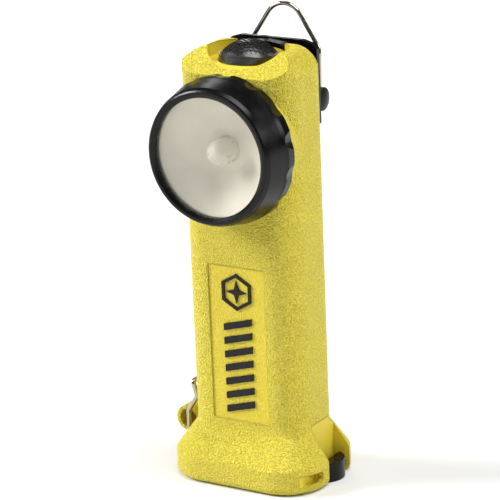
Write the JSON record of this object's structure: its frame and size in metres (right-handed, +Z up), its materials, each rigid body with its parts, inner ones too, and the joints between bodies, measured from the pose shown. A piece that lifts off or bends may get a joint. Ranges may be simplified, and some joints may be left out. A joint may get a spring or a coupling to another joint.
{
  "type": "firefighter flashlight",
  "caption": "Right-angle firefighter flashlight: yellow body on a flared foot, forward lens head, rubber top switch, sprung coat clip, D-ring and bottom battery door.",
  "frame": {"origin": "centre of the foot's underside, on the plane the light stands on", "axes": "+Z up the body, -Y the way the lens faces, +X the side with the battery door's hinge"},
  "size_m": [0.0754, 0.0673, 0.1928],
  "materials": {
    "yellow_nylon": "fine pebbled moulding",
    "black_nylon": "satin",
    "black_print": "matte",
    "black_rubber": "matte",
    "black_steel": "satin black coat",
    "bright_wire": "bright plated",
    "steel": "plain",
    "lens_clear": "clear",
    "reflector_metal": "satin metallised",
    "dome_frosted": "frosted",
    "emitter_yellow": "gloss",
    "board_white": "gloss",
    "board_green": "gloss",
    "heat_sink_metal": "machined",
    "contact_brass": "plated",
    "cell_can": "plated can",
    "pad_foam": "closed cell foam"
  },
  "bodies": {
    "body": {"housing": "yellow_nylon", "front_emblem": "black_print", "reflector": "reflector_metal", "head_o_ring": "black_rubber", "led_dome": "dome_frosted", "led_emitter": "emitter_yellow", "led_board": "board_white", "lamp_holder": "black_nylon", "heat_sink": "heat_sink_metal", "driver_board": "board_green", "switch_spring": "steel", "switch_module": "black_nylon", "clip_bracket": "black_nylon", "bracket_screws": "steel", "clip_pivot_pin": "black_steel", "clip_spring": "steel", "battery_tray": "black_nylon", "cell_lower_left": "cell_can", "cell_lower_right": "cell_can", "cell_upper_left": "cell_can", "cell_upper_right": "cell_can", "contact_carrier": "black_nylon", "contact_spring": "contact_brass", "contact_leaf": "contact_brass", "charge_contact_left": "contact_brass", "charge_contact_right": "contact_brass", "door_hinge_pin": "steel"},
    "switch": {"switch_boot": "black_rubber", "switch_plunger": "black_nylon"},
    "lens_stack": {"lens": "lens_clear", "lens_gasket": "black_rubber"},
    "lens_ring": {"facecap": "black_nylon"},
    "clip": {"clip_lever": "black_steel"},
    "ring": {"d_ring": "bright_wire"},
    "door": {"battery_door": "yellow_nylon", "door_hinge_block": "black_nylon", "door_gasket": "black_rubber", "door_pad": "pad_foam"},
    "bail": {"latch_bail": "bright_wire"}
  },
  "joints": [
    {"name": "switch_press", "type": "slide", "parent": "body", "child": "switch", "axis": [0, 0, -1], "range_m": [0, 0.0015], "stiffness_N_per_m": 1500, "springref_m": -0.0005, "deforming": ["switch_spring"]},
    {"name": "facecap_advance", "type": "slide", "parent": "body", "child": "lens_stack", "axis": [0, -1, 0], "range_m": [0, 0.006]},
    {"name": "facecap_turn", "type": "hinge", "parent": "lens_stack", "child": "lens_ring", "pos_m": [0, 0, 0.1426], "axis": [0, -1, 0], "range_deg": [0, 1080]},
    {"name": "clip_swing", "type": "hinge", "parent": "body", "child": "clip", "pos_m": [0, 0.0264, 0.154], "axis": [1, 0, 0], "range_deg": [0, 20], "stiffness_Nm_per_rad": 0.6, "springref_deg": -8.59},
    {"name": "d_ring_swing", "type": "hinge", "parent": "body", "child": "ring", "pos_m": [0, 0.0264, 0.154], "axis": [-1, 0, 0], "range_deg": [-11, 132]},
    {"name": "battery_door_swing", "type": "hinge", "parent": "body", "child": "door", "pos_m": [0.0314, 0, 0.004], "axis": [0, -1, 0], "range_deg": [0, 90]},
    {"name": "latch_bail_swing", "type": "hinge", "parent": "door", "child": "bail", "pos_m": [-0.033, 0, 0.0034], "axis": [0, -1, 0], "range_deg": [0, 110]}
  ],
  "couplings": [
    {"joint": "facecap_advance", "follows": "facecap_turn", "m_per_rad": 0.00031831}
  ]
}
